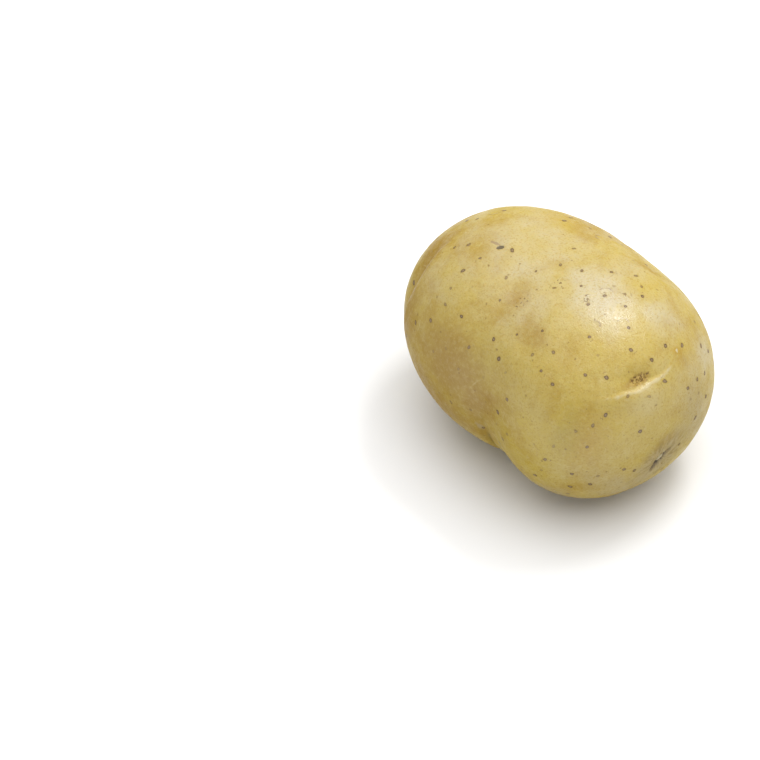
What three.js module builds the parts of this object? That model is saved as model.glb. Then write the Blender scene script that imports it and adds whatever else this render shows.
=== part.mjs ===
// A washed table potato, one solid, lying on its underside. Millimetres, +Z up.
// It grew as two lobes that run into each other. +X points at the stem end, where the tuber hung from
// its runner, and -X at the rose end, where the eyes crowd together. The origin is on the surface that
// the potato rests on, under the middle of its bounding box.
import * as THREE from "three";
import { mergeVertices } from "three/addons/utils/BufferGeometryUtils.js";

// Overall sizes.
const bodyLength = 90.5; // from the tip of one lobe to the tip of the other
const settledDepth = 1.8; // how much of the rounded underside is lost to the resting flat
const flatEdgeRadius = 0.5; // how softly the resting flat turns into the belly

// The lobes are egg-shaped: full sizes along, across and up, and their turn about Z, Y and X in degrees.
const roseLobe = { length: 78, width: 64, height: 58.5, yaw: 8, pitch: 4, roll: 8.5 };
const stemLobe = { length: 55, width: 61, height: 58.5, yaw: 10, pitch: 0, roll: 9.5 };

// The lobes run together softly, except in a fold low on the -Y flank, where they meet in a crease.
const softBlend = 12;
const foldBlend = 2.5;
const foldSlope = 30; // degrees below the horizon that the fold's middle faces
const foldStart = 0.25; // cosine of the angle from the fold's middle at which it begins
const foldFull = 0.95; // and at which it is a plain crease

// The hollow round the stem scar, and the scar's own pit in it.
const stemHollow = { longitude: -3, latitude: -7, radius: 15, depth: 2.4 };
const stemPit = { longitude: -3, latitude: -7, radius: 2.6, depth: 1 };

// Slow swells that keep the skin from being a plain egg.
const swellHeight = 0.3;
const swellLength = 34;

// Eyes: where they are, seen from the body's middle (degrees round from +X and above the horizon), how far
// the brow is turned from square to the potato's length, and the sizes of the dimple and of its brow.
const eyes = [
  { longitude: -7, latitude: 28, turn: -10, width: 11, depth: 1.1, browLength: 19, browHeight: 0.6 },
  { longitude: -148, latitude: 17, turn: 2, width: 17, depth: 1.5, browLength: 30, browHeight: 0.7 },
  { longitude: -93, latitude: 64, turn: 0, width: 11, depth: 0.4, browLength: 10, browHeight: 0.1 },
  { longitude: -58, latitude: 47, turn: 0, width: 10, depth: 0.45, browLength: 12, browHeight: 0.1 },
  { longitude: -33, latitude: 43, turn: 0, width: 12, depth: 0.35, browLength: 12, browHeight: 0.1 },
  { longitude: 75, latitude: -12, turn: -12, width: 11, depth: 1, browLength: 18, browHeight: 0.5 },
  { longitude: 118, latitude: 12, turn: 10, width: 12, depth: 1.1, browLength: 20, browHeight: 0.6 },
  { longitude: 146, latitude: -14, turn: -6, width: 12, depth: 1.1, browLength: 20, browHeight: 0.6 },
  { longitude: 170, latitude: 12, turn: 4, width: 10, depth: 1, browLength: 16, browHeight: 0.5 },
  { longitude: -166, latitude: -14, turn: 0, width: 9, depth: 0.9, browLength: 14, browHeight: 0.4 },
  { longitude: -125, latitude: -38, turn: 8, width: 11, depth: 0.9, browLength: 17, browHeight: 0.4 },
  { longitude: 40, latitude: -38, turn: 12, width: 10, depth: 0.8, browLength: 16, browHeight: 0.4 },
];
const dimpleSlimness = 0.45; // a dimple's size along the potato as a share of its width
const browReach = 3.6; // from the bud in the dimple's middle to the top of its brow
const browSag = 0.018; // how fast the brow's ends bend back round the bud, per millimetre
const browInnerSlope = 2.2; // the brow drops steeply towards the bud
const browOuterSlope = 4; // and gently towards the stem end
const eyeZone = 2.2; // an eye has no effect past this many brow half-lengths

const meshDetail = 22; // splits of each edge of the icosahedron that the skin is drawn from
const flatTolerance = 1e-3; // corners this near to the resting flat are put on it
const skinColour = 0xcdb673;

const STEMWARD = new THREE.Vector3(1, 0, 0);
const radians = THREE.MathUtils.degToRad;
const bodyMiddle = new THREE.Vector3(0, 0, roseLobe.height / 2);

// A lobe's centre, half sizes and turn. Each lobe's tip is at its end of the body, side -1 or +1.
function placeLobe(lobe, side) {
  const turn = new THREE.Euler(radians(lobe.roll), radians(lobe.pitch), radians(lobe.yaw), "ZYX");
  return {
    centre: new THREE.Vector3((side * (bodyLength - lobe.length)) / 2, 0, lobe.height / 2),
    halfSizes: new THREE.Vector3(lobe.length, lobe.width, lobe.height).divideScalar(2),
    toLobe: new THREE.Quaternion().setFromEuler(turn).invert(),
  };
}

// About how far a point is outside an egg-shaped lobe, negative inside it.
function outsideLobe(point, lobe) {
  const scaled = point.clone().sub(lobe.centre).applyQuaternion(lobe.toLobe).divide(lobe.halfSizes);
  const reach = scaled.length();
  return (reach * (reach - 1)) / scaled.divide(lobe.halfSizes).length();
}

// The smaller of two distances, with the corner between them rounded over the given width.
function softMinimum(a, b, width) {
  const share = THREE.MathUtils.clamp(0.5 + (b - a) / (2 * width), 0, 1);
  return THREE.MathUtils.lerp(b, a, share) - width * share * (1 - share);
}

function softMaximum(a, b, width) {
  return -softMinimum(-a, -b, width);
}

// The unit vector from the body's middle at a longitude and a latitude in degrees.
function direction(longitude, latitude) {
  return new THREE.Vector3().setFromSphericalCoords(1, radians(90 - latitude), radians(longitude + 90))
    .applyAxisAngle(new THREE.Vector3(1, 0, 0), Math.PI / 2);
}

const rose = placeLobe(roseLobe, -1);
const stem = placeLobe(stemLobe, 1);
const foldDirection = direction(-90, -foldSlope);

// The two lobes run together, with no skin features yet.
function outsideBody(point) {
  const facing = point.clone().sub(bodyMiddle).normalize().dot(foldDirection);
  const folded = THREE.MathUtils.smoothstep(facing, foldStart, foldFull);
  const blend = THREE.MathUtils.lerp(softBlend, foldBlend, folded);
  return softMinimum(outsideLobe(point, rose), outsideLobe(point, stem), blend);
}

// The point on a surface, given as an outside function, straight out from the body's middle.
function surfacePoint(outside, along) {
  const farthest = bodyLength;
  const halvings = 40;
  let inner = 0;
  let outer = farthest;
  for (let i = 0; i < halvings; i++) {
    const middle = (inner + outer) / 2;
    if (outside(bodyMiddle.clone().addScaledVector(along, middle)) < 0) inner = middle;
    else outer = middle;
  }
  return bodyMiddle.clone().addScaledVector(along, inner);
}

// A place on the plain body with its own axes: out of the skin, towards the stem end, and across.
function placeOnSkin({ longitude, latitude, turn = 0 }) {
  const step = 0.5;
  const at = surfacePoint(outsideBody, direction(longitude, latitude));
  const slope = ["x", "y", "z"].map((axis) => {
    const ahead = at.clone();
    const behind = at.clone();
    ahead[axis] += step;
    behind[axis] -= step;
    return outsideBody(ahead) - outsideBody(behind);
  });
  const out = new THREE.Vector3(...slope).normalize();
  const stemward = STEMWARD.clone().projectOnPlane(out).normalize().applyAxisAngle(out, radians(turn));
  return { at, stemward, across: out.clone().cross(stemward) };
}

const bell = (distance, width) => Math.exp(-((distance / width) ** 2));

// How far a round hollow sinks the skin at a point.
function hollowAt(point, { at, radius, depth }) {
  return depth * bell(point.distanceTo(at), radius);
}

// How far an eye sinks the skin at a point: its dimple, less the brow that stands over it on the stem side.
function eyeAt(point, eye) {
  const offset = point.clone().sub(eye.at);
  if (offset.length() > (eyeZone * eye.browLength) / 2) return 0;
  const across = offset.dot(eye.across);
  const ahead = offset.dot(eye.stemward);
  const dimple = eye.depth * bell(across, eye.width / 2) * bell(ahead, (eye.width * dimpleSlimness) / 2);
  const fromBrow = ahead - browReach + browSag * across ** 2;
  const slope = fromBrow < 0 ? browInnerSlope : browOuterSlope;
  const browFade = Math.exp(-((across / (eye.browLength / 2)) ** 4));
  return dimple - eye.browHeight * browFade * bell(fromBrow, slope);
}

// Slow swells of the whole skin, as three crossing waves.
function swellAt({ x, y, z }) {
  const turns = (2 * Math.PI) / swellLength;
  const phases = [x + 0.6 * y, y - 0.7 * z, z + 0.5 * x];
  const waves = phases.reduce((sum, phase) => sum + Math.sin(turns * phase), 0);
  return (swellHeight * waves) / phases.length;
}

const placedEyes = eyes.map((eye) => ({ ...eye, ...placeOnSkin(eye) }));
const hollows = [stemHollow, stemPit].map((hollow) => ({ ...hollow, ...placeOnSkin(hollow) }));

// The body with its swells, hollows and eyes, still round underneath.
function outsideSkin(point) {
  const sunk = placedEyes.reduce((sum, eye) => sum + eyeAt(point, eye), 0);
  const hollowed = hollows.reduce((sum, hollow) => sum + hollowAt(point, hollow), 0);
  return outsideBody(point) + sunk + hollowed - swellAt(point);
}

// The skin: an icosphere whose every corner is moved out to the surface, levelled off where it rests.
function potatoGeometry() {
  const sphere = new THREE.IcosahedronGeometry(1, meshDetail);
  sphere.deleteAttribute("normal");
  sphere.deleteAttribute("uv");
  const geometry = mergeVertices(sphere, 1e-5);
  const corners = geometry.getAttribute("position");
  const directions = Array.from({ length: corners.count }, (_, i) =>
    new THREE.Vector3().fromBufferAttribute(corners, i).normalize());

  const underside = directions.map((along) => surfacePoint(outsideSkin, along).z);
  const restLevel = Math.min(...underside) + settledDepth;
  const outsidePotato = (point) => softMaximum(outsideSkin(point), restLevel - point.z, flatEdgeRadius);
  directions.forEach((along, i) => {
    const corner = surfacePoint(outsidePotato, along);
    const height = corner.z - restLevel;
    corners.setXYZ(i, corner.x, corner.y, Math.abs(height) < flatTolerance ? 0 : height);
  });

  geometry.computeBoundingBox();
  const { min, max } = geometry.boundingBox;
  geometry.translate(-(min.x + max.x) / 2, -(min.y + max.y) / 2, 0);
  geometry.computeVertexNormals();
  return geometry;
}

const skinMaterial = new THREE.MeshStandardMaterial({ color: skinColour, roughness: 0.5, metalness: 0 });
const potato = new THREE.Mesh(potatoGeometry(), skinMaterial);
potato.name = "potato";

const part = new THREE.Group();
part.add(potato);

export default part;
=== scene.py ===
import math

import bpy
import numpy as np
from mathutils import Matrix, Vector
from mathutils.bvhtree import BVHTree


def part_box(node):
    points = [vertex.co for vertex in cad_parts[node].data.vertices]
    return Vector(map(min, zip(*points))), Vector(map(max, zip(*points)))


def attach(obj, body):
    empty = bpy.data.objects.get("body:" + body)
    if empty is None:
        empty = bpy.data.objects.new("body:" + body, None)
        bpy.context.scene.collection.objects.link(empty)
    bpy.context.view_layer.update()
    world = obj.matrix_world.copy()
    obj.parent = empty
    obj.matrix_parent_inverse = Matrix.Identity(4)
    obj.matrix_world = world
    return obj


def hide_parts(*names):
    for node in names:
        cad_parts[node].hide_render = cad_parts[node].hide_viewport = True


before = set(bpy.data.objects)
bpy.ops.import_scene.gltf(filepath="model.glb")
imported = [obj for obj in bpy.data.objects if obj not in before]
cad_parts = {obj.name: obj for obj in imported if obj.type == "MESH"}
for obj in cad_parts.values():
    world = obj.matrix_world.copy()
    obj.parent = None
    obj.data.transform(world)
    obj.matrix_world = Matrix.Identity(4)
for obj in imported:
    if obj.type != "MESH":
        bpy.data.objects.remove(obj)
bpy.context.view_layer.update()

MM = 0.001

# ---------------------------------------------------------------------------------------------------------
# The tuber: one swollen piece of stem, skin and flesh together, two lobes run into one. The skin here is a
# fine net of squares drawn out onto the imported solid, closest round the eyes, where the skin is most worked.

NET_LEVEL = 7  # halvings of each side of the cube that the net starts from
GATHER = 0.45  # how strongly the net is drawn together at an eye or the stem scar
GATHER_ANGLE = math.radians(11)  # and how far round it, as seen from the potato's heart
SMOOTHINGS = 12  # rounds of smoothing
SPOT_SIZE = 4  # mm of skin round a spot whose mean slope is the spot's own
SPOT_DEPTH = 6  # mm above or below a spot up to which its marks are full
SPOT_DEPTH_END = 9  # and from which there are none, so that they stay on their own side of the potato

box_low, box_high = (np.array(corner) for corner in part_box("potato"))
heart = (box_low + box_high) / 2
half_size = (box_high - box_low) / 2


def evaluated_mesh(obj):
    """A plain copy of the mesh that an object's modifiers make."""
    depsgraph = bpy.context.evaluated_depsgraph_get()
    return bpy.data.meshes.new_from_object(obj.evaluated_get(depsgraph), depsgraph=depsgraph)


def coordinates(mesh):
    found = np.empty(len(mesh.vertices) * 3)
    mesh.vertices.foreach_get("co", found)
    return found.reshape(-1, 3)


def normals(mesh):
    found = np.empty(len(mesh.vertices) * 3, np.float32)
    mesh.vertices.foreach_get("normal", found)
    return found.reshape(-1, 3).astype(float)


def place_vertices(mesh, points):
    mesh.vertices.foreach_set("co", points.astype(np.float32).ravel())
    mesh.update()


def scratch_object(name, mesh):
    obj = bpy.data.objects.new(name, mesh)
    bpy.context.scene.collection.objects.link(obj)
    return obj


def smooth_solid():
    """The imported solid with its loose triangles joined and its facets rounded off, to cast rays at."""
    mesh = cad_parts["potato"].data.copy()
    solid = scratch_object("rounded_solid", mesh)
    weld = solid.modifiers.new("join", "WELD")
    weld.merge_threshold = 0.001 * MM
    rounding = solid.modifiers.new("round", "SUBSURF")
    rounding.levels = rounding.render_levels = 2
    rounded = evaluated_mesh(solid)
    bpy.data.objects.remove(solid)
    return rounded


def cube_net():
    """A cube's surface, split evenly into squares."""
    side = [-1, 1]
    corners = [(x, y, z) for x in side for y in side for z in side]
    faces = [(0, 1, 3, 2), (4, 6, 7, 5), (0, 4, 5, 1), (2, 3, 7, 6), (0, 2, 6, 4), (1, 5, 7, 3)]
    mesh = bpy.data.meshes.new("net")
    mesh.from_pydata(corners, [], faces)
    cube = scratch_object("net", mesh)
    split = cube.modifiers.new("split", "SUBSURF")
    split.subdivision_type = "SIMPLE"
    split.levels = split.render_levels = NET_LEVEL
    fine = evaluated_mesh(cube)
    bpy.data.objects.remove(cube)
    return fine


def direction(longitude, latitude):
    """The unit vector at degrees round from +X and degrees above the horizon."""
    around, above = math.radians(longitude), math.radians(latitude)
    level = math.cos(above)
    return np.array([math.cos(around) * level, math.sin(around) * level, math.sin(above)])


def unit(vectors):
    return vectors / np.linalg.norm(vectors, axis=-1, keepdims=True)


def bell(distance, width):
    return np.exp(-((distance / width) ** 2))


def smooth_step(values, start, full):
    """0 up to start, 1 from full on, and soft between them. Start may be the larger of the two."""
    share = np.clip((values - start) / (full - start), 0, 1)
    return share * share * (3 - 2 * share)


def smoothed(points, edges, times):
    """Points moved towards the middle of their neighbours, so that no facet of the solid is left."""
    count = np.bincount(edges.ravel(), minlength=len(points))[:, None]
    for _ in range(times):
        total = np.zeros_like(points)
        for axis in range(3):
            total[:, axis] = np.bincount(edges[:, 0], points[edges[:, 1], axis], len(points))
            total[:, axis] += np.bincount(edges[:, 1], points[edges[:, 0], axis], len(points))
        points = (points + total / count) / 2
    return points


# The eyes, each at degrees round from +X and above the horizon as seen from the potato's heart, with the slant
# of its brow in degrees and how plain the brow's lip is, from 0 to 1. The rest is in millimetres: the brow's
# length, its reach ahead of the eye's middle and its sag, which is how far it bends back 1 mm from its middle,
# and grows with the square of that; the step down behind it and the breadth of that hollow; and the bud's
# place across and ahead, with its half width and half length.
EYES = [
    dict(longitude=-6.6, latitude=26.2, slant=-10, brow=20.5, reach=2.7, sag=0.018,
         lip=1.0, step=0.3, hollow=1.5, bud=(0, 0.2, 5.2, 2.2)),
    dict(longitude=-146.4, latitude=12.9, slant=2, brow=26.0, reach=3.3, sag=0.004,
         lip=0.6, step=1.0, hollow=4.0, bud=(2.5, 2.0, 2.6, 1.0)),
    dict(longitude=73.5, latitude=-13.3, slant=-12, brow=18.0, reach=3.2, sag=0.018,
         lip=0.55, step=0.25, hollow=1.8, bud=(0, 0, 5.0, 2.2)),
    dict(longitude=117.2, latitude=11.0, slant=10, brow=20.0, reach=3.2, sag=0.018,
         lip=0.55, step=0.25, hollow=2.0, bud=(0, 0, 6.0, 2.6)),
    dict(longitude=146.0, latitude=-15.4, slant=-6, brow=20.0, reach=3.2, sag=0.018,
         lip=0.55, step=0.3, hollow=2.0, bud=(1, 0, 5.0, 2.2)),
    dict(longitude=170.5, latitude=11.3, slant=4, brow=16.0, reach=3.0, sag=0.018,
         lip=0.55, step=0.25, hollow=1.6, bud=(0, 0, 5.0, 2.4)),
    dict(longitude=-165.1, latitude=-15.2, slant=0, brow=14.0, reach=2.8, sag=0.018,
         lip=0.55, step=0.25, hollow=1.5, bud=(0, 0, 4.5, 2.0)),
    dict(longitude=-123.0, latitude=-39.0, slant=8, brow=17.0, reach=3.0, sag=0.018,
         lip=0.55, step=0.25, hollow=1.6, bud=(0, 0, 4.5, 2.0)),
    dict(longitude=38.3, latitude=-38.6, slant=12, brow=16.0, reach=3.0, sag=0.018,
         lip=0.55, step=0.25, hollow=1.6, bud=(0, 0, 4.5, 2.2)),
]

STEM_SCAR = (-1.9, -10.5)  # where the tuber broke from its runner

solid = smooth_solid()
solid_tree = BVHTree.FromPolygons([v.co for v in solid.vertices], [p.vertices for p in solid.polygons])


def cast(along):
    """Where a ray from the heart leaves the solid."""
    reach = 4 * half_size.max()
    outside = Vector(heart + along * reach)
    hit = solid_tree.ray_cast(outside, Vector(-along), reach)[0]
    return np.array(hit)


net = cube_net()
on_cube = np.tan(coordinates(net) * math.pi / 4)
aim = unit(on_cube)
for longitude, latitude in [(eye["longitude"], eye["latitude"]) for eye in EYES] + [STEM_SCAR]:
    towards = unit(direction(longitude, latitude) / half_size)
    angle = np.arccos(np.clip(aim @ towards, -1, 1))
    aim = unit(aim + GATHER * bell(angle, GATHER_ANGLE)[:, None] * (towards - aim))
aim = unit(aim * half_size)

net_edges = np.empty(len(net.edges) * 2, np.int64)
net.edges.foreach_get("vertices", net_edges)
net_edges = net_edges.reshape(-1, 2)
points = smoothed(np.array([cast(along) for along in aim]), net_edges, SMOOTHINGS)
place_vertices(net, points)
outward = normals(net)
rise = np.zeros(len(points))  # how far each point of the skin will stand out, in metres
marks = {}  # how much of each colour mark is at each point, from 0 to 1


def spot_at(longitude, latitude, slant=0):
    """A place on the skin with its own axes: across, towards the stem end, and out."""
    at = cast(direction(longitude, latitude))
    near = np.linalg.norm(points - at, axis=1) < SPOT_SIZE * MM
    out = unit(outward[near].mean(0))
    stemward = unit(np.array([1, 0, 0]) - out * out[0])
    across = np.cross(out, stemward)
    turn = math.radians(slant)
    turned_stemward = stemward * math.cos(turn) + across * math.sin(turn)
    return at, np.cross(out, turned_stemward), turned_stemward, out


def from_spot(spot):
    """How far each point of the skin is from a spot, in mm: across, stemward, and out."""
    at, across, stemward, out = spot
    offset = (points - at) / MM
    return offset @ across, offset @ stemward, offset @ out


def on_side(out):
    """1 on the skin about level with a spot, 0 far above or below it."""
    return smooth_step(np.abs(out), SPOT_DEPTH_END, SPOT_DEPTH)


def add_mark(name, amount):
    marks[name] = np.maximum(marks.get(name, 0), amount)


# ---------------------------------------------------------------------------------------------------------
# The eyes: each is a little hollow with a dormant bud in it, brown and scaly, under a brow, the pale scar of
# the leaf that once stood there. The imported solid has the hollow and the brow's swell; this sharpens them.
# The pale line along each brow is partly that scar and partly painted highlight on its ridge, and the step
# down behind the brow is darkened with painted shade.

# In millimetres.
LIP_HEIGHT = 0.06
LIP_INNER = 0.6  # how far the lip's swell runs towards the bud
LIP_OUTER = 1.5  # and towards the stem end
LIP_LINE = 0.5  # half the width of the pale line along the lip
LIP_GLOW = 1.0  # half the width of the fainter pale band ahead of it
LIP_GLOW_AHEAD = 1.2
LIP_GLOW_SHARE = 0.4  # its strength beside the line's
STEP_WIDTH = 1.1  # over which the skin steps down behind the brow
BUD_DEPTH = 0.2
BROW_WAVE = 0.2  # how far the brow's line strays from its bend
BROW_WAVES = 0.8  # radians of that waver per mm

for eye in EYES:
    across, stemward, out = from_spot(spot_at(eye["longitude"], eye["latitude"], eye["slant"]))
    here = on_side(out)
    waver = BROW_WAVE * np.sin(BROW_WAVES * across + eye["longitude"])
    from_brow = stemward - eye["reach"] + eye["sag"] * across**2 + waver
    brow_fade = np.exp(-((across / (eye["brow"] / 2)) ** 4)) * here
    lip = np.where(from_brow < 0, bell(from_brow, LIP_INNER), bell(from_brow, LIP_OUTER))
    behind = smooth_step(-from_brow, 0, STEP_WIDTH) * bell(np.minimum(from_brow, 0), eye["hollow"])
    rise += MM * (LIP_HEIGHT * eye["lip"] * lip - eye["step"] * behind) * brow_fade
    bud_across, bud_ahead, bud_width, bud_length = eye["bud"]
    bud_shape = np.hypot((across - bud_across) / bud_width, (stemward - bud_ahead) / bud_length)
    rise -= MM * BUD_DEPTH * smooth_step(bud_shape, 0.7, 0.3) * here
    add_mark("bud", smooth_step(bud_shape, 0.95, 0.15) * here)
    # The pale line along the lip and the fainter band ahead of it: partly the leaf scar, partly painted
    # highlight on the ridge.
    scar_and_highlight = bell(from_brow, LIP_LINE) + LIP_GLOW_SHARE * bell(from_brow - LIP_GLOW_AHEAD, LIP_GLOW)
    add_mark("lip", eye["lip"] * scar_and_highlight * brow_fade)
    # Painted shade in the hollow behind the brow, darker where the step down is deeper.
    add_mark("furrow", behind * brow_fade * smooth_step(eye["step"], 0.2, 0.8))

# ---------------------------------------------------------------------------------------------------------
# The stem scar: where the tuber broke from its runner. A dark slit in a long shallow furrow, with a dried
# flake of the runner still in it, and the skin drawn towards it in fine wrinkles.

STEM_SLANT = 55  # degrees that the slit is turned from square to the potato's length
FURROW_HALF = (6.0, 1.5)  # half lengths and half widths, in millimetres
SLIT_HALF = (2.8, 1.1)
FLAKE_HALF = (1.3, 0.45)
FLAKE_AT = (-0.3, -0.4)  # from the slit's middle
FURROW_DEPTH = 0.35
SLIT_DEPTH = 1.0
FLAKE_HEIGHT = 0.7
DRAWN_RADIUS = 12  # how far out the skin is drawn and greyed
DRAWN_STRETCH = 1.5  # how much farther that is along the slit
RAY_RUN = 0.12  # how fast a wrinkle changes along itself

stem_across, stem_ward, stem_out = from_spot(spot_at(*STEM_SCAR, STEM_SLANT))
at_stem = on_side(stem_out)


def stem_oval(half, middle=(0, 0)):
    """Distance from the middle of a long spot in the stem scar, 1 all round its edge."""
    return np.hypot((stem_across - middle[0]) / half[0], (stem_ward - middle[1]) / half[1])


furrow = stem_oval(FURROW_HALF)
slit_mark = smooth_step(stem_oval(SLIT_HALF), 1.4, 0.6) * at_stem
flake_mark = smooth_step(stem_oval(FLAKE_HALF, FLAKE_AT), 1.3, 0.7) * at_stem
furrow_shape = smooth_step(furrow, 1, 0) * at_stem
rise += MM * (FLAKE_HEIGHT * flake_mark - SLIT_DEPTH * slit_mark - FURROW_DEPTH * furrow_shape)
add_mark("slit", slit_mark * (1 - flake_mark))
add_mark("flake", flake_mark)
add_mark("furrowed", smooth_step(furrow, 1.2, 0.3) * at_stem)
stem_distance = stem_oval((DRAWN_STRETCH, 1))
add_mark("stem_grey", smooth_step(stem_distance, DRAWN_RADIUS, 1) * at_stem)
# Where each point is round the scar, and how far out: noise over this runs in rays.
aside = np.maximum(stem_distance, 0.3)
stem_rays = np.stack([stem_across / aside, stem_ward / aside, RAY_RUN * stem_distance], 1)

# ---------------------------------------------------------------------------------------------------------
# The fold, low on one flank, where the two lobes meet. The imported solid has its crease, and this opens a
# crack along it that is deepest at its low end and fades out up the flank. A dark line of painted shade runs
# along the crack, darkest at its low end.

FOLD = (-76.5, -17)
FOLD_DEPTH = 1.2  # mm, as are the rest
FOLD_WIDTH = 1.3
FOLD_SHADE_WIDTH = 0.8
FOLD_WAVE = 0.5  # how far the crack strays from a straight line
FOLD_WAVE_RUN = 3.1

up_fold, from_fold, fold_out = from_spot(spot_at(*FOLD))
from_fold = from_fold - FOLD_WAVE * np.sin(up_fold / FOLD_WAVE_RUN)
fold_ends = smooth_step(up_fold, -20, -10) * smooth_step(up_fold, 12, -6) * on_side(fold_out)
rise -= MM * FOLD_DEPTH * bell(from_fold, FOLD_WIDTH) * fold_ends
# Painted shade along the crack, strongest towards its low end.
add_mark("fold_shade", bell(from_fold, FOLD_SHADE_WIDTH) * fold_ends * smooth_step(up_fold, 5, -9))

# ---------------------------------------------------------------------------------------------------------
# The clouds and blemishes that a potato picks up in the ground and in washing, and patches of painted shade,
# painted sheen and a painted highlight. First the soft patches: colour, degrees round and above the horizon,
# slant, half width and half length in millimetres, and strength.

PATCH_DEPTH = 12  # millimetres above or below its place over which a patch fades
PATCHES = [
    # The first three dusky patches and the last two are stains. Those between are painted shade: on the lower
    # left flank, round the rose end, beyond the far eye's brow, on the low front, and a strip in the near eye's
    # hollow.
    ("dusky_stain_and_shade", -83, 62, 0, 6.5, 5.0, 0.65),
    ("dusky_stain_and_shade", -54, 46, 0, 5.0, 6.5, 0.75),
    ("dusky_stain_and_shade", -32, 40, 0, 6.0, 4.5, 0.55),
    ("dusky_stain_and_shade", -99, 13, 0, 13.0, 14.0, 1.0),
    ("dusky_stain_and_shade", -68, 24, 0, 8.0, 9.0, 0.5),
    ("dusky_stain_and_shade", -80, 4, 0, 10.0, 9.0, 0.9),
    ("dusky_stain_and_shade", -110, -15, 0, 14.0, 18.0, 1.0),
    ("dusky_stain_and_shade", -155, 25, 0, 14.0, 8.0, 0.9),
    ("dusky_stain_and_shade", 180, 8, 0, 22.0, 22.0, 0.8),
    ("dusky_stain_and_shade", -137, 6, 0, 15.0, 8.0, 1.0),
    ("dusky_stain_and_shade", -10, 25.5, -10, 4.5, 1.6, 0.7),
    ("dusky_stain_and_shade", -30, -34, 0, 16.0, 9.0, 0.4),
    ("dusky_stain_and_shade", -28, 14, 0, 10.0, 6.0, 0.3),
    ("dusky_stain_and_shade", -31, -14, 0, 12.0, 8.0, 0.35),
    ("dusky_stain_and_shade", 100, 30, 0, 12.0, 9.0, 0.6),
    ("dusky_stain_and_shade", 160, -30, 0, 12.0, 12.0, 0.8),
    # The pale patches high up, from 45 degrees above the horizon, are painted sheen from the light overhead,
    # and the one at 2 and 62 is a painted highlight where the softbox shines; the lower three are paler skin.
    ("pale_and_sheen", -150, 80, 0, 34.0, 34.0, 0.55),
    ("pale_and_sheen", 2, 62, 0, 10.0, 14.0, 1.0),
    ("pale_and_sheen", -170, 62, 0, 16.0, 12.0, 0.5),
    ("pale_and_sheen", 22, 38, 0, 9.0, 9.0, 0.7),
    ("pale_and_sheen", -9, 19, -10, 7.0, 5.0, 0.6),
    ("pale_and_sheen", -140, 45, 0, 14.0, 16.0, 0.5),
    ("pale_and_sheen", 26, 16, 0, 10.0, 8.0, 0.6),
    ("golden", -14, 17, 0, 12.0, 7.0, 0.7),
    ("golden", -50, 0, 0, 12.0, 12.0, 0.7),
    ("golden", -35, 12, 0, 16.0, 9.0, 0.7),
    ("amber", 13.6, 27.3, 0, 2.4, 1.2, 1.0),
    ("amber", 22, 25, 0, 8.0, 5.0, 0.3),
    ("amber", -33, 38, 0, 5.0, 5.0, 0.4),
    ("amber", -83, 60, 0, 5.0, 5.0, 0.4),
    # This amber patch on the low front is painted shade, darker and more saturated than the skin round it.
    ("amber", -29, 10, 0, 11.0, 7.0, 0.8),
    ("amber", 130, 50, 0, 10.0, 12.0, 0.6),
    ("green", -36, 10, 0, 10.0, 5.0, 0.6),
    ("green", 60, 20, 0, 12.0, 10.0, 0.5),
    # This grey patch lies under the softbox's highlight and is part of the painted highlight: it greys the skin
    # there so that the highlight looks whiter.
    ("greyed", 8, 53, 0, 7.0, 7.0, 0.5),
    ("greyed", 14, 4, 0, 18.0, 9.0, 0.8),
    ("greyed", -18, -16, 0, 16.0, 7.0, 0.8),
    ("greyed", -38, -30, 0, 14.0, 12.0, 0.6),
    ("greyed", 60, -40, 0, 14.0, 12.0, 0.6),
    ("scar", -79, -14, 20, 2.0, 1.2, 1.0),
    ("freckled", -36, 73, 0, 2.2, 1.6, 1.0),
    ("freckled", -77, 60, 0, 2.6, 2.6, 0.9),
    ("freckled", -10, 61, 0, 1.8, 1.8, 0.9),
    ("freckled", 17, 53, 0, 1.5, 1.5, 0.7),
    ("freckled", 120, 40, 0, 2.5, 2.0, 0.9),
]
for name, longitude, latitude, slant, wide, long, strength in PATCHES:
    across, stemward, out = from_spot(spot_at(longitude, latitude, slant))
    apart = np.hypot(np.hypot(across / wide, stemward / long), out / PATCH_DEPTH)
    add_mark(name, strength * bell(apart, 1))

# A small grey scar with a paler scratch running off it, and a dry crumb in the middle of the amber spot.
BRUISE_DEPTH = 0.3  # mm
SCRATCH_DEPTH = 0.08
CRUMB_RADIUS = 0.6

scar_across, scar_ward, _ = from_spot(spot_at(-153.8, 60.7, -39))
bruise = smooth_step(np.hypot(scar_across / 1.15, scar_ward / 0.75), 1.3, 0.6)
tail_across, tail_ward, _ = from_spot(spot_at(-157.5, 57.5, 10))
tail = smooth_step(np.hypot(tail_across / 0.5, tail_ward / 2.4), 1.3, 0.4)
rise -= MM * (BRUISE_DEPTH * bruise + SCRATCH_DEPTH * tail)
add_mark("bruise", bruise)
add_mark("scratch", tail)
crumb_across, crumb_ward, _ = from_spot(spot_at(13.6, 27.3))
add_mark("flake", smooth_step(np.hypot(crumb_across, crumb_ward), CRUMB_RADIUS, CRUMB_RADIUS / 2))

# Healed scabs, as broken rings: degrees round and above the horizon, slant, and radius in millimetres.
SCABS = [
    (-0.4, 45.6, -39, 1.2),
    (7, 59.2, -39, 1.3),
    (-14.7, 49, -90, 0.9),
    (100, 55, 40, 1.1),
    (175, 40, 120, 1.0),
]
SCAB_RIM_HEIGHT = 0.10  # mm, as are the rest
SCAB_RIM_WIDTH = 0.3
SCAB_DEPTH = 0.06
SCAB_SQUEEZE = 0.8  # how much a ring's longer side is pulled in when the distance from its middle is measured

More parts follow.
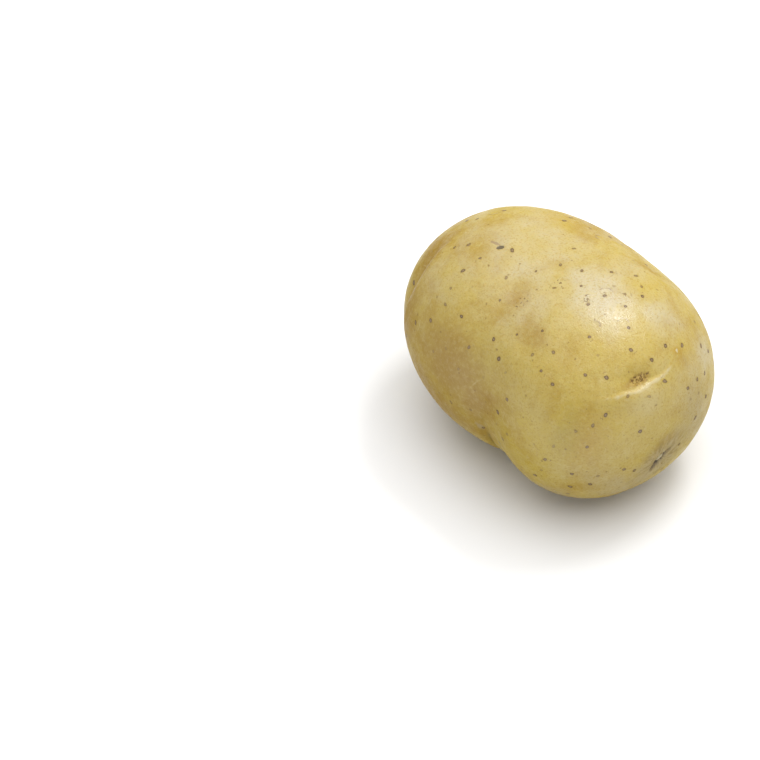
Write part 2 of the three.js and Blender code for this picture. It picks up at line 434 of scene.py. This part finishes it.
for longitude, latitude, slant, radius in SCABS:
    across, stemward, out = from_spot(spot_at(longitude, latitude, slant))
    distance = np.hypot(np.hypot(across * SCAB_SQUEEZE, stemward), out)
    rim = bell(distance - radius, SCAB_RIM_WIDTH) * smooth_step(stemward, radius, -0.4 * radius)
    rise += MM * (SCAB_RIM_HEIGHT * rim - SCAB_DEPTH * smooth_step(distance, radius, 0.3 * radius))
    add_mark("scab_rim", rim)

# ---------------------------------------------------------------------------------------------------------
# The plainest lenticels, the pores that the tuber breathes through, at degrees round and above the horizon,
# with a radius in millimetres. The rest are strewn by chance in the next section, clear of these.

PLAINEST = [
    (0, 43, 0.4), (-95, 78, 0.3), (17, 75, 0.4), (34, 63, 0.45), (-7, 68, 0.35), (-13, 58, 0.4),
    (8, 50, 0.4), (23, 48, 0.45), (-21, 45, 0.4), (-5, 36, 0.45), (10, 31, 0.5), (-48, 49, 0.3),
    (-65, 45, 0.3), (-95, 55, 0.3), (-107, 36, 0.4), (-92, 28, 0.4), (-46, 33, 0.35), (-27, 32, 0.4),
    (-19, 30, 0.5), (-61, 17, 0.4), (-22, 18, 0.45), (-11, 9, 0.5), (-29, 7, 0.4), (-34, -5, 0.4),
    (2, 22, 0.45), (11, 14, 0.45), (-141, 53, 0.3), (-153, 39, 0.3),
]
PORE_REACH = 1.5  # mm from a lenticel's middle within which the skin belongs to it
PORE_CLEARANCE = 3.6  # mm round a plain lenticel that the strewn ones keep out of

plain_at = np.array([cast(direction(longitude, latitude)) for longitude, latitude, _ in PLAINEST])
plain_apart = np.linalg.norm(points[:, None] - plain_at, axis=2)
closest = plain_apart.argmin(1)
plain_centre = plain_at[closest]
plain_radius = np.array([radius for _, _, radius in PLAINEST])[closest] * MM
plain_distance = plain_apart.min(1) / MM
add_mark("plain_near", (plain_distance < PORE_REACH).astype(float))
add_mark("plain_guard", (plain_distance < PORE_CLEARANCE).astype(float))

place_vertices(net, points + outward * rise[:, None])


def give(name, kind, key, values):
    """Gives the net a named value at each of its points."""
    layer = net.attributes.new(name, kind, "POINT")
    layer.data.foreach_set(key, values.astype(np.float32).ravel())


for name, amount in marks.items():
    give(name, "FLOAT", "value", np.clip(amount, 0, 1))
give("plain_size", "FLOAT", "value", plain_radius)
give("plain_centre", "FLOAT_VECTOR", "vector", plain_centre)
give("stem_rays", "FLOAT_VECTOR", "vector", stem_rays)

# ---------------------------------------------------------------------------------------------------------
# The lenticels: corky spots up to a millimetre and a half across, and far more and smaller specks between
# them. Nodes strew them over the skin and press each one into it, with the skin's own slow unevenness.

# Each kind's name, least distance apart, number per square millimetre, least radius and how much is added to
# it by chance, and rim height, all in millimetres, and the seed.
PORES = [
    ("lenticel", 3.8, 0.026, 0.28, 0.24, 0.04, 11),
    ("speck", 2.2, 0.045, 0.10, 0.12, 0.01, 5),
]
UNEVENNESS = 0.5  # of the whole skin, in mm from its lowest to its highest, at most
BUD_ROUGHNESS = 1.2
WRINKLE_DEPTH = 0.5
UNEVENNESS_NOISE = (110.0, 3.0)  # the scale and the detail of the noise that each of these is made of
BUD_NOISE = (1300.0, 2.0)
WRINKLE_NOISE = (5.0, 3.0)
CLUMP_NOISE = (45.0, 1.0)  # and of the noise that gathers the pores in loose clumps
PORE_SLIMMING = 0.33  # how much a pore's long axis is pulled in when its distance is measured


def add_node(tree, kind, inputs=None, **settings):
    """A node with its settings, and with each input set to a value or linked from another node's socket."""
    made = tree.nodes.new(kind)
    for key, value in settings.items():
        setattr(made, key, value)
    for key, value in (inputs or {}).items():
        if isinstance(value, bpy.types.NodeSocket):
            tree.links.new(value, made.inputs[key])
        else:
            made.inputs[key].default_value = value
    return made


def maths(tree, operation, *values):
    made = add_node(tree, "ShaderNodeMath", dict(enumerate(values)), operation=operation)
    return made.outputs[0]


def vectors(tree, operation, *values):
    made = add_node(tree, "ShaderNodeVectorMath", operation=operation)
    for i, value in enumerate(values):
        key = "Scale" if operation == "SCALE" and i == 1 else i
        if isinstance(value, bpy.types.NodeSocket):
            tree.links.new(value, made.inputs[key])
        else:
            made.inputs[key].default_value = value
    return made.outputs["Value" if operation in ("LENGTH", "DISTANCE", "DOT_PRODUCT") else "Vector"]


def ramp(tree, value, start, full, low=0.0, high=1.0):
    """Value from low at start to high at full, with a soft step."""
    made = add_node(tree, "ShaderNodeMapRange", interpolation_type="SMOOTHSTEP")
    names = ("Value", "From Min", "From Max", "To Min", "To Max")
    for key, given in zip(names, (value, start, full, low, high)):
        if isinstance(given, bpy.types.NodeSocket):
            tree.links.new(given, made.inputs[key])
        else:
            made.inputs[key].default_value = given
    return made.outputs["Result"]


def pore_distance(tree, offset, axis, size):
    """Distance from a pore's middle as a share of its radius. The pore is half as long again as it is wide."""
    along = vectors(tree, "DOT_PRODUCT", offset, axis)
    shorter = vectors(tree, "SCALE", axis, maths(tree, "MULTIPLY", along, PORE_SLIMMING))
    rounded = vectors(tree, "SUBTRACT", offset, shorter)
    return maths(tree, "DIVIDE", vectors(tree, "LENGTH", rounded), size)


def skin_nodes(material):
    """The tree that strews the pores over the skin, marks each point near one, and presses them in."""
    tree = bpy.data.node_groups.new("skin_pores", "GeometryNodeTree")
    values = {}

    def take(label, kind, value=None):
        made = tree.interface.new_socket(label, in_out="INPUT", socket_type=kind)
        if value is not None:
            values[made.identifier] = value

    def named(name, kind="FLOAT"):
        return add_node(tree, "GeometryNodeInputNamedAttribute", {"Name": name}, data_type=kind).outputs[0]

    def noise(vector, scale, detail):
        """Noise about nought."""
        made = add_node(tree, "ShaderNodeTexNoise", {"Vector": vector, "Scale": scale, "Detail": detail})
        return maths(tree, "SUBTRACT", made.outputs[0], 0.5)

    take("Geometry", "NodeSocketGeometry")
    tree.interface.new_socket("Geometry", in_out="OUTPUT", socket_type="NodeSocketGeometry")
    for name, apart, density, radius, spread, rim, seed in PORES:
        take(f"{name} distance apart", "NodeSocketFloat", apart * MM)
        take(f"{name} density", "NodeSocketFloat", density / MM**2)
        take(f"{name} radius", "NodeSocketFloat", radius * MM)
        take(f"{name} radius spread", "NodeSocketFloat", spread * MM)
        take(f"{name} rim height", "NodeSocketFloat", rim * MM)
        take(f"{name} seed", "NodeSocketInt", seed)
    take("unevenness", "NodeSocketFloat", UNEVENNESS * MM)
    take("bud roughness", "NodeSocketFloat", BUD_ROUGHNESS * MM)
    take("wrinkle depth", "NodeSocketFloat", WRINKLE_DEPTH * MM)
    entry = tree.nodes.new("NodeGroupInput").outputs
    geometry = entry["Geometry"]
    position = add_node(tree, "GeometryNodeInputPosition").outputs[0]
    normal = add_node(tree, "GeometryNodeInputNormal").outputs[0]
    bud = named("bud")

    # The pores come in loose clumps, and keep off the buds, the stem scar and the plainest lenticels.
    taken = maths(tree, "MAXIMUM", maths(tree, "MAXIMUM", bud, named("slit")), named("plain_guard"))
    clumps = ramp(tree, noise(position, *CLUMP_NOISE), -0.18, 0.12, 0.2, 1.0)
    room = maths(tree, "MULTIPLY", clumps, maths(tree, "LESS_THAN", taken, 0.1))

    # The skin's unevenness, rough buds and the wrinkles round the stem scar.
    height = maths(tree, "MULTIPLY", noise(position, *UNEVENNESS_NOISE), entry["unevenness"])
    flaky = maths(tree, "MULTIPLY", noise(position, *BUD_NOISE), bud)
    height = maths(tree, "MULTIPLY_ADD", flaky, entry["bud roughness"], height)
    rays = named("stem_rays", "FLOAT_VECTOR")
    drawn_in = maths(tree, "MULTIPLY", noise(rays, *WRINKLE_NOISE), named("stem_grey"))
    height = maths(tree, "MULTIPLY_ADD", drawn_in, entry["wrinkle depth"], height)

    for name, *_, seed in PORES:
        strewn = add_node(
            tree,
            "GeometryNodeDistributePointsOnFaces",
            {
                "Mesh": geometry,
                "Distance Min": entry[f"{name} distance apart"],
                "Density Max": entry[f"{name} density"],
                "Density Factor": room,
                "Seed": entry[f"{name} seed"],
            },
            distribute_method="POISSON",
        )
        dots = strewn.outputs["Points"]
        nearest = add_node(tree, "GeometryNodeSampleNearest", {"Geometry": dots}, domain="POINT").outputs[0]
        chance = add_node(tree, "FunctionNodeRandomValue", {"Seed": seed}, data_type="FLOAT").outputs[1]
        tumble = add_node(tree, "FunctionNodeRandomValue", {"Min": (-1, -1, -1), "Seed": seed + 1},
                          data_type="FLOAT_VECTOR").outputs[0]

        def at_nearest(value, kind):
            made = add_node(tree, "GeometryNodeSampleIndex", {"Geometry": dots, "Index": nearest},
                            data_type=kind, domain="POINT")
            tree.links.new(value, made.inputs["Value"])
            return made.outputs[0]

        centre = at_nearest(position, "FLOAT_VECTOR")
        tone = at_nearest(chance, "FLOAT")
        axis = vectors(tree, "NORMALIZE", at_nearest(tumble, "FLOAT_VECTOR"))
        size = maths(tree, "MULTIPLY_ADD", entry[f"{name} radius spread"], tone, entry[f"{name} radius"])
        if name == "lenticel":
            # Near a plain lenticel, the skin belongs to that one.
            plain = maths(tree, "GREATER_THAN", named("plain_near"), 0.5)
            plain_centre = named("plain_centre", "FLOAT_VECTOR")
            centre = add_node(tree, "GeometryNodeSwitch", {0: plain, 1: centre, 2: plain_centre},
                              input_type="VECTOR").outputs[0]
            size = add_node(tree, "GeometryNodeSwitch", {0: plain, 1: size, 2: named("plain_size")},
                            input_type="FLOAT").outputs[0]
            tone = maths(tree, "MAXIMUM", plain, tone)
        offset = vectors(tree, "SUBTRACT", position, centre)
        near = maths(tree, "LESS_THAN", vectors(tree, "LENGTH", offset), PORE_REACH * MM)
        for key, value, kind in [
            ("centre", centre, "FLOAT_VECTOR"),
            ("size", size, "FLOAT"),
            ("tone", tone, "FLOAT"),
            ("axis", axis, "FLOAT_VECTOR"),
            ("near", near, "FLOAT"),
        ]:
            stored = add_node(tree, "GeometryNodeStoreNamedAttribute",
                              {"Geometry": geometry, "Name": f"{name}_{key}"}, data_type=kind, domain="POINT")
            tree.links.new(value, stored.inputs["Value"])
            geometry = stored.outputs[0]
        share = pore_distance(tree, offset, axis, size)
        # Up on its rim and down in its middle.
        ring = maths(tree, "SUBTRACT", ramp(tree, share, 1.5, 0.9), ramp(tree, share, 0.9, 0.2, 0.0, 1.6))
        height = maths(tree, "MULTIPLY_ADD", ring, entry[f"{name} rim height"], height)

    moved = add_node(tree, "GeometryNodeSetPosition",
                     {"Geometry": geometry, "Offset": vectors(tree, "SCALE", normal, height)})
    whole = add_node(tree, "GeometryNodeRealizeInstances", {"Geometry": moved.outputs[0]})
    painted = add_node(tree, "GeometryNodeSetMaterial", {"Geometry": whole.outputs[0], "Material": material})
    tree.links.new(painted.outputs[0], tree.nodes.new("NodeGroupOutput").inputs[0])
    return tree, values


# ---------------------------------------------------------------------------------------------------------
# The skin's own look: a thin straw-yellow cork over pale flesh, washed and dry, with a soft sheen. Clouded
# with ochre and pale netting, and marked where the sections above say. Colours are linear red, green, blue.

STRAW = (0.420, 0.310, 0.062)
OCHRE = (0.315, 0.195, 0.018)
CREAM = (0.472, 0.380, 0.140)
# A dark brown for stains, and for painted shade on the low and far flanks and in the hollows behind the brows.
DUSKY_STAIN_AND_SHADE = (0.250, 0.127, 0.002)
AMBER = (0.365, 0.222, 0.012)
GREEN = (0.270, 0.220, 0.040)
GREYED = (0.362, 0.296, 0.170)
# A whitish cream for paler skin, and for painted sheen and a painted highlight on the top.
PALE_AND_SHEEN = (0.470, 0.420, 0.300)
GOLDEN = (0.465, 0.340, 0.030)
BUD_BROWN = (0.120, 0.056, 0.006)
BUD_TAN = (0.260, 0.155, 0.014)
BUD_GOLD = (0.380, 0.260, 0.060)
# A pale cream for the dried flakes, and for the brows' lips, partly leaf scar, partly painted highlight.
LIP_CREAM = (0.500, 0.435, 0.260)
CORK_RIM = (0.078, 0.038, 0.013)
CORK_MIDDLE = (0.215, 0.145, 0.072)
SPECK_BROWN = (0.135, 0.074, 0.020)
SCAR_GREY = (0.105, 0.080, 0.045)
SCAR_PINK = (0.230, 0.150, 0.090)
STEM_BROWN = (0.110, 0.068, 0.024)
SLIT_DARK = (0.042, 0.022, 0.007)


def blend(tree, share, below, above):
    """The colour above laid over the one below, where share is 1."""
    made = add_node(tree, "ShaderNodeMix", data_type="RGBA", clamp_factor=True)
    for index, value in ((0, share), (6, below), (7, above)):
        if isinstance(value, bpy.types.NodeSocket):
            tree.links.new(value, made.inputs[index])
        else:
            made.inputs[index].default_value = value if index == 0 else (*value, 1)
    return made.outputs[2]


def attribute(tree, name, output="Fac"):
    return add_node(tree, "ShaderNodeAttribute", attribute_name=name).outputs[output]


def potato_skin():
    material = bpy.data.materials.new("potato_skin")
    material.use_nodes = True
    tree = material.node_tree
    tree.nodes.clear()
    place = add_node(tree, "ShaderNodeTexCoord").outputs["Object"]

    def noise(scale, detail=2.0, rough=0.5, twist=0.0, vector=place):
        """Noise from 0 to 1, mostly between 0.35 and 0.65, with scale turns to the metre."""
        return add_node(tree, "ShaderNodeTexNoise", {"Vector": vector, "Scale": scale, "Detail": detail,
                                                     "Roughness": rough, "Distortion": twist}).outputs[0]

    def mark(name, scale, ragged):
        """A mark's amount with its edge made ragged by fine noise."""
        amount = attribute(tree, name)
        wobble = maths(tree, "MULTIPLY", maths(tree, "SUBTRACT", noise(scale, 3.0), 0.5), ragged)
        return maths(tree, "MULTIPLY_ADD", wobble, ramp(tree, amount, 0.0, 0.3), amount)

    def lay(colour, amount, start, full, strength, tint):
        """The tint laid over the colour, from none where the amount is start to strength where it is full."""
        return blend(tree, ramp(tree, amount, start, full, 0.0, strength), colour, tint)

    # Clouds of ochre and cream with a paler netting, then the patches, some of them painted shade and painted
    # sheen, then a fine grain over all of it.
    colour = lay(STRAW, noise(70.0, 4.0, 0.6, 0.6), 0.45, 0.66, 0.70, OCHRE)
    colour = lay(colour, noise(110.0, 2.0, 0.5), 0.52, 0.72, 0.35, CREAM)
    colour = lay(colour, noise(280.0, 4.0, 0.65, 0.8), 0.50, 0.70, 0.40, CREAM)
    colour = lay(colour, mark("pale_and_sheen", 120.0, 1.0), 0.1, 1.0, 0.75, PALE_AND_SHEEN)
    colour = lay(colour, mark("golden", 120.0, 1.0), 0.1, 1.0, 0.6, GOLDEN)
    colour = lay(colour, mark("amber", 160.0, 0.6), 0.1, 1.0, 0.6, AMBER)
    colour = lay(colour, mark("green", 160.0, 0.6), 0.1, 1.0, 0.55, GREEN)
    colour = lay(colour, mark("greyed", 200.0, 0.8), 0.1, 1.0, 0.65, GREYED)
    colour = lay(colour, mark("dusky_stain_and_shade", 160.0, 0.8), 0.1, 1.0, 0.52, DUSKY_STAIN_AND_SHADE)
    colour = lay(colour, mark("dusky_stain_and_shade", 450.0, 1.6), 0.3, 1.1, 0.35, DUSKY_STAIN_AND_SHADE)
    colour = lay(colour, noise(1000.0, 3.0, 0.6), 0.45, 0.70, 0.30, CREAM)
    colour = lay(colour, noise(1900.0, 1.0, 0.5), 0.50, 0.72, 0.45, OCHRE)

    # Hair-thin scratches, paler than the skin, along the level lines of slow noise.
    hair = maths(tree, "ABSOLUTE", maths(tree, "SUBTRACT", noise(30.0, 0.0), 0.5))
    broken = maths(tree, "MULTIPLY", ramp(tree, hair, 0.004, 0.001), ramp(tree, noise(90.0, 2.0), 0.57, 0.62))
    colour = lay(colour, broken, 0.0, 1.0, 0.35, CREAM)

    # The grey wrinkles drawn in to the stem scar, then the brows' pale lips, partly painted highlight, painted
    # shade in their furrows, and painted shade along the fold's crack.
    rays = noise(4.0, 4.0, 0.7, 0.4, attribute(tree, "stem_rays", "Vector"))
    drawn = maths(tree, "MULTIPLY", attribute(tree, "stem_grey"), ramp(tree, rays, 0.42, 0.62))
    pale_rays = maths(tree, "MULTIPLY", attribute(tree, "stem_grey"), ramp(tree, rays, 0.52, 0.36))
    colour = lay(colour, mark("stem_grey", 300.0, 0.6), 0.1, 0.9, 0.6, GREYED)
    colour = lay(colour, drawn, 0.05, 1.0, 0.35, STEM_BROWN)
    colour = lay(colour, pale_rays, 0.05, 0.9, 0.6, GREYED)
    colour = lay(colour, mark("furrowed", 500.0, 1.4), 0.15, 1.0, 0.75, STEM_BROWN)
    colour = lay(colour, mark("lip", 450.0, 1.8), 0.25, 1.1, 0.6, LIP_CREAM)
    colour = lay(colour, mark("furrow", 500.0, 0.6), 0.1, 0.9, 0.5, DUSKY_STAIN_AND_SHADE)
    colour = lay(colour, mark("scar", 500.0, 0.8), 0.3, 0.9, 0.6, GREYED)
    colour = lay(colour, mark("fold_shade", 500.0, 0.9), 0.1, 1.0, 0.6, STEM_BROWN)

    # The pores: a brown cork rim round a greyer middle, with a faint halo. Then fine freckles in clusters.
    for name, rim, middle, strength in [("speck", SPECK_BROWN, SPECK_BROWN, 0.5),
                                        ("lenticel", CORK_RIM, CORK_MIDDLE, 0.95)]:
        offset = vectors(tree, "SUBTRACT", place, attribute(tree, f"{name}_centre", "Vector"))
        axis = attribute(tree, f"{name}_axis", "Vector")
        share = pore_distance(tree, offset, axis, attribute(tree, f"{name}_size"))
        ragged = maths(tree, "MULTIPLY_ADD", maths(tree, "SUBTRACT", noise(1500.0), 0.5), 0.9, share)
        tone = ramp(tree, attribute(tree, f"{name}_tone"), 0.0, 0.9, 0.25, 1.0)
        here = maths(tree, "MULTIPLY", attribute(tree, f"{name}_near"), tone)
        pore = lay(rim, maths(tree, "SUBTRACT", noise(500.0), ragged), -0.35, 0.15, 1.0, middle)
        halo = maths(tree, "MULTIPLY", ramp(tree, ragged, 2.0, 1.0, 0.0, 0.25), here)
        within = maths(tree, "MULTIPLY", ramp(tree, ragged, 1.15, 0.8, 0.0, strength), here)
        colour = blend(tree, halo, colour, BUD_TAN)
        colour = blend(tree, within, colour, pore)
    freckles = maths(tree, "MULTIPLY", attribute(tree, "freckled"), ramp(tree, noise(1300.0, 1.0), 0.56, 0.64))
    colour = lay(colour, freckles, 0.1, 0.7, 0.75, SPECK_BROWN)

    # Scabs, buds and scars.
    colour = lay(colour, mark("scab_rim", 900.0, 1.0), 0.45, 0.9, 0.55, SCAR_PINK)
    colour = lay(colour, mark("bud", 500.0, 1.0), 0.1, 0.7, 0.8, BUD_TAN)
    colour = lay(colour, mark("bud", 1100.0, 2.6), 0.6, 1.0, 0.8, BUD_BROWN)
    golden = maths(tree, "MULTIPLY", attribute(tree, "bud"), ramp(tree, noise(1500.0, 1.0), 0.46, 0.58))
    colour = lay(colour, golden, 0.2, 0.7, 0.85, BUD_GOLD)
    colour = lay(colour, mark("scratch", 900.0, 1.2), 0.3, 0.8, 0.6, SCAR_PINK)
    colour = lay(colour, mark("bruise", 900.0, 0.6), 0.3, 0.7, 0.95, SCAR_GREY)
    colour = lay(colour, mark("slit", 700.0, 1.3), 0.3, 0.8, 0.9, SLIT_DARK)
    colour = lay(colour, mark("flake", 900.0, 0.8), 0.3, 0.7, 0.9, LIP_CREAM)

    # A dry sheen, broken up by the grain, fainter where the skin turns away and on the corky places.
    corky = maths(tree, "MAXIMUM", attribute(tree, "bud"), attribute(tree, "stem_grey"))
    washed = ramp(tree, noise(260.0, 5.0, 0.7), 0.4, 0.62, 0.28, 0.46)
    rough = maths(tree, "ADD", washed, ramp(tree, corky, 0.1, 0.7, 0.0, 0.3))
    grain = maths(tree, "MULTIPLY_ADD", noise(900.0, 2.0, 0.5), 0.5, noise(2600.0, 2.0, 0.6))
    edge_on = add_node(tree, "ShaderNodeLayerWeight", {"Blend": 0.5}).outputs["Facing"]
    bump = add_node(tree, "ShaderNodeBump", {"Height": grain, "Strength": 0.35, "Distance": 0.25 * MM})
    shader = add_node(tree, "ShaderNodeBsdfPrincipled", {
        "Base Color": colour,
        "Roughness": rough,
        "Normal": bump.outputs[0],
        "Specular IOR Level": ramp(tree, edge_on, 0.1, 0.6, 0.9, 0.05),
        "Subsurface Weight": 0.1,
        "Subsurface Radius": (1.0, 0.62, 0.25),
        "Subsurface Scale": 1.0 * MM,
    })
    surface = add_node(tree, "ShaderNodeOutputMaterial")
    tree.links.new(shader.outputs[0], surface.inputs["Surface"])
    return material


skin_material = potato_skin()
skin = scratch_object("potato_skin", net)
pore_tree, pore_settings = skin_nodes(skin_material)
pores = skin.modifiers.new("pores", "NODES")
pores.node_group = pore_tree
for identifier, value in pore_settings.items():
    pores[identifier] = value
finished = evaluated_mesh(skin)
skin.modifiers.remove(pores)
skin.data = finished
finished.polygons.foreach_set("use_smooth", np.ones(len(finished.polygons), bool))
for name in ("plain_near", "plain_guard", "plain_size", "plain_centre"):  # used by the nodes alone
    finished.attributes.remove(finished.attributes[name])
skin_points = coordinates(finished)
skin_points[:, 2] = np.maximum(skin_points[:, 2], 0)  # the table presses its rough spots flat
place_vertices(finished, skin_points)
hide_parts("potato")
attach(skin, "root")

# ---------------------------------------------------------------------------------------------------------
# The table top, lit by a wide even light overhead with white all round, by a softbox that gives the skin its
# sheen, and seen by the camera.

FLOOR_SIDE = 4.0
FLOOR_WHITE = 0.8
FLOOR_ROUGHNESS = 0.7
WORLD_STRENGTH = 0.55
floor_mesh = bpy.data.meshes.new("floor")
corner = FLOOR_SIDE / 2
floor_mesh.from_pydata([(-corner, -corner, 0), (corner, -corner, 0), (corner, corner, 0), (-corner, corner, 0)],
                       [], [(0, 1, 2, 3)])
floor = scratch_object("floor", floor_mesh)
floor_paint = bpy.data.materials.new("floor_white")
floor_paint.use_nodes = True
floor_shader = floor_paint.node_tree.nodes["Principled BSDF"]
floor_shader.inputs["Base Color"].default_value = (FLOOR_WHITE, FLOOR_WHITE, FLOOR_WHITE, 1)
floor_shader.inputs["Roughness"].default_value = FLOOR_ROUGHNESS
floor_mesh.materials.append(floor_paint)


def area_light(name, towards, distance, length, width, power):
    """A lamp at a distance from the potato, towards somewhere, shining on it. Its length runs along X."""
    lamp = bpy.data.lights.new(name, "AREA")
    lamp.shape = "RECTANGLE"
    lamp.size = length
    lamp.size_y = width
    lamp.energy = power
    obj = bpy.data.objects.new(name, lamp)
    away = Vector(towards).normalized()
    obj.location = Vector(heart) + away * distance
    obj.rotation_mode = "QUATERNION"
    obj.rotation_quaternion = away.to_track_quat("Z", "Y")
    bpy.context.scene.collection.objects.link(obj)
    return obj


ceiling = area_light("ceiling", towards=(0.06, 0.08, 1.0), distance=1.2, length=1.8, width=1.8, power=22.2)
ceiling.visible_glossy = False  # so that of the two, only the softbox is mirrored in the skin
area_light("softbox", towards=(-0.02, 0.46, 0.88), distance=0.75, length=0.28, width=0.13, power=2.0)

world = bpy.data.worlds.new("studio_white")
world.use_nodes = True
background = world.node_tree.nodes["Background"]
background.inputs["Color"].default_value = (1, 1, 1, 1)
background.inputs["Strength"].default_value = WORLD_STRENGTH
bpy.context.scene.world = world

# The camera stands in front of the stem end and looks down past the potato's left, so that the potato is
# right of the middle of the view.
CAMERA_AZIMUTH = math.radians(50.6)
CAMERA_ELEVATION = math.radians(44.4)
CAMERA_DISTANCE = 0.88  # metres, as are the next four
VIEW_WIDTH = 0.1961  # how much is seen from side to side at that distance
PAST_LEFT = 0.0453
PAST_BELOW = 0.0101
SUBJECT_HEIGHT = 0.030
SENSOR_WIDTH = 36  # millimetres, as is the lens

level = Vector((-math.sin(CAMERA_AZIMUTH), math.cos(CAMERA_AZIMUTH), 0))
rightward = Vector((math.cos(CAMERA_AZIMUTH), math.sin(CAMERA_AZIMUTH), 0))
forward = level * math.cos(CAMERA_ELEVATION) - Vector((0, 0, math.sin(CAMERA_ELEVATION)))
upward = rightward.cross(forward)
subject = Vector((0, 0, SUBJECT_HEIGHT))
camera_data = bpy.data.cameras.new("camera")
camera_data.sensor_width = SENSOR_WIDTH
camera_data.lens = SENSOR_WIDTH * CAMERA_DISTANCE / VIEW_WIDTH
camera = bpy.data.objects.new("camera", camera_data)
camera.location = subject - forward * CAMERA_DISTANCE
look = (subject - rightward * PAST_LEFT - upward * PAST_BELOW - camera.location).normalized()
across_view = look.cross(upward).normalized()
turned = Matrix((across_view, across_view.cross(look), -look)).transposed()
camera.rotation_mode = "QUATERNION"
camera.rotation_quaternion = turned.to_quaternion()
bpy.context.scene.collection.objects.link(camera)
bpy.context.scene.camera = camera
bpy.context.scene.view_settings.view_transform = "Standard"
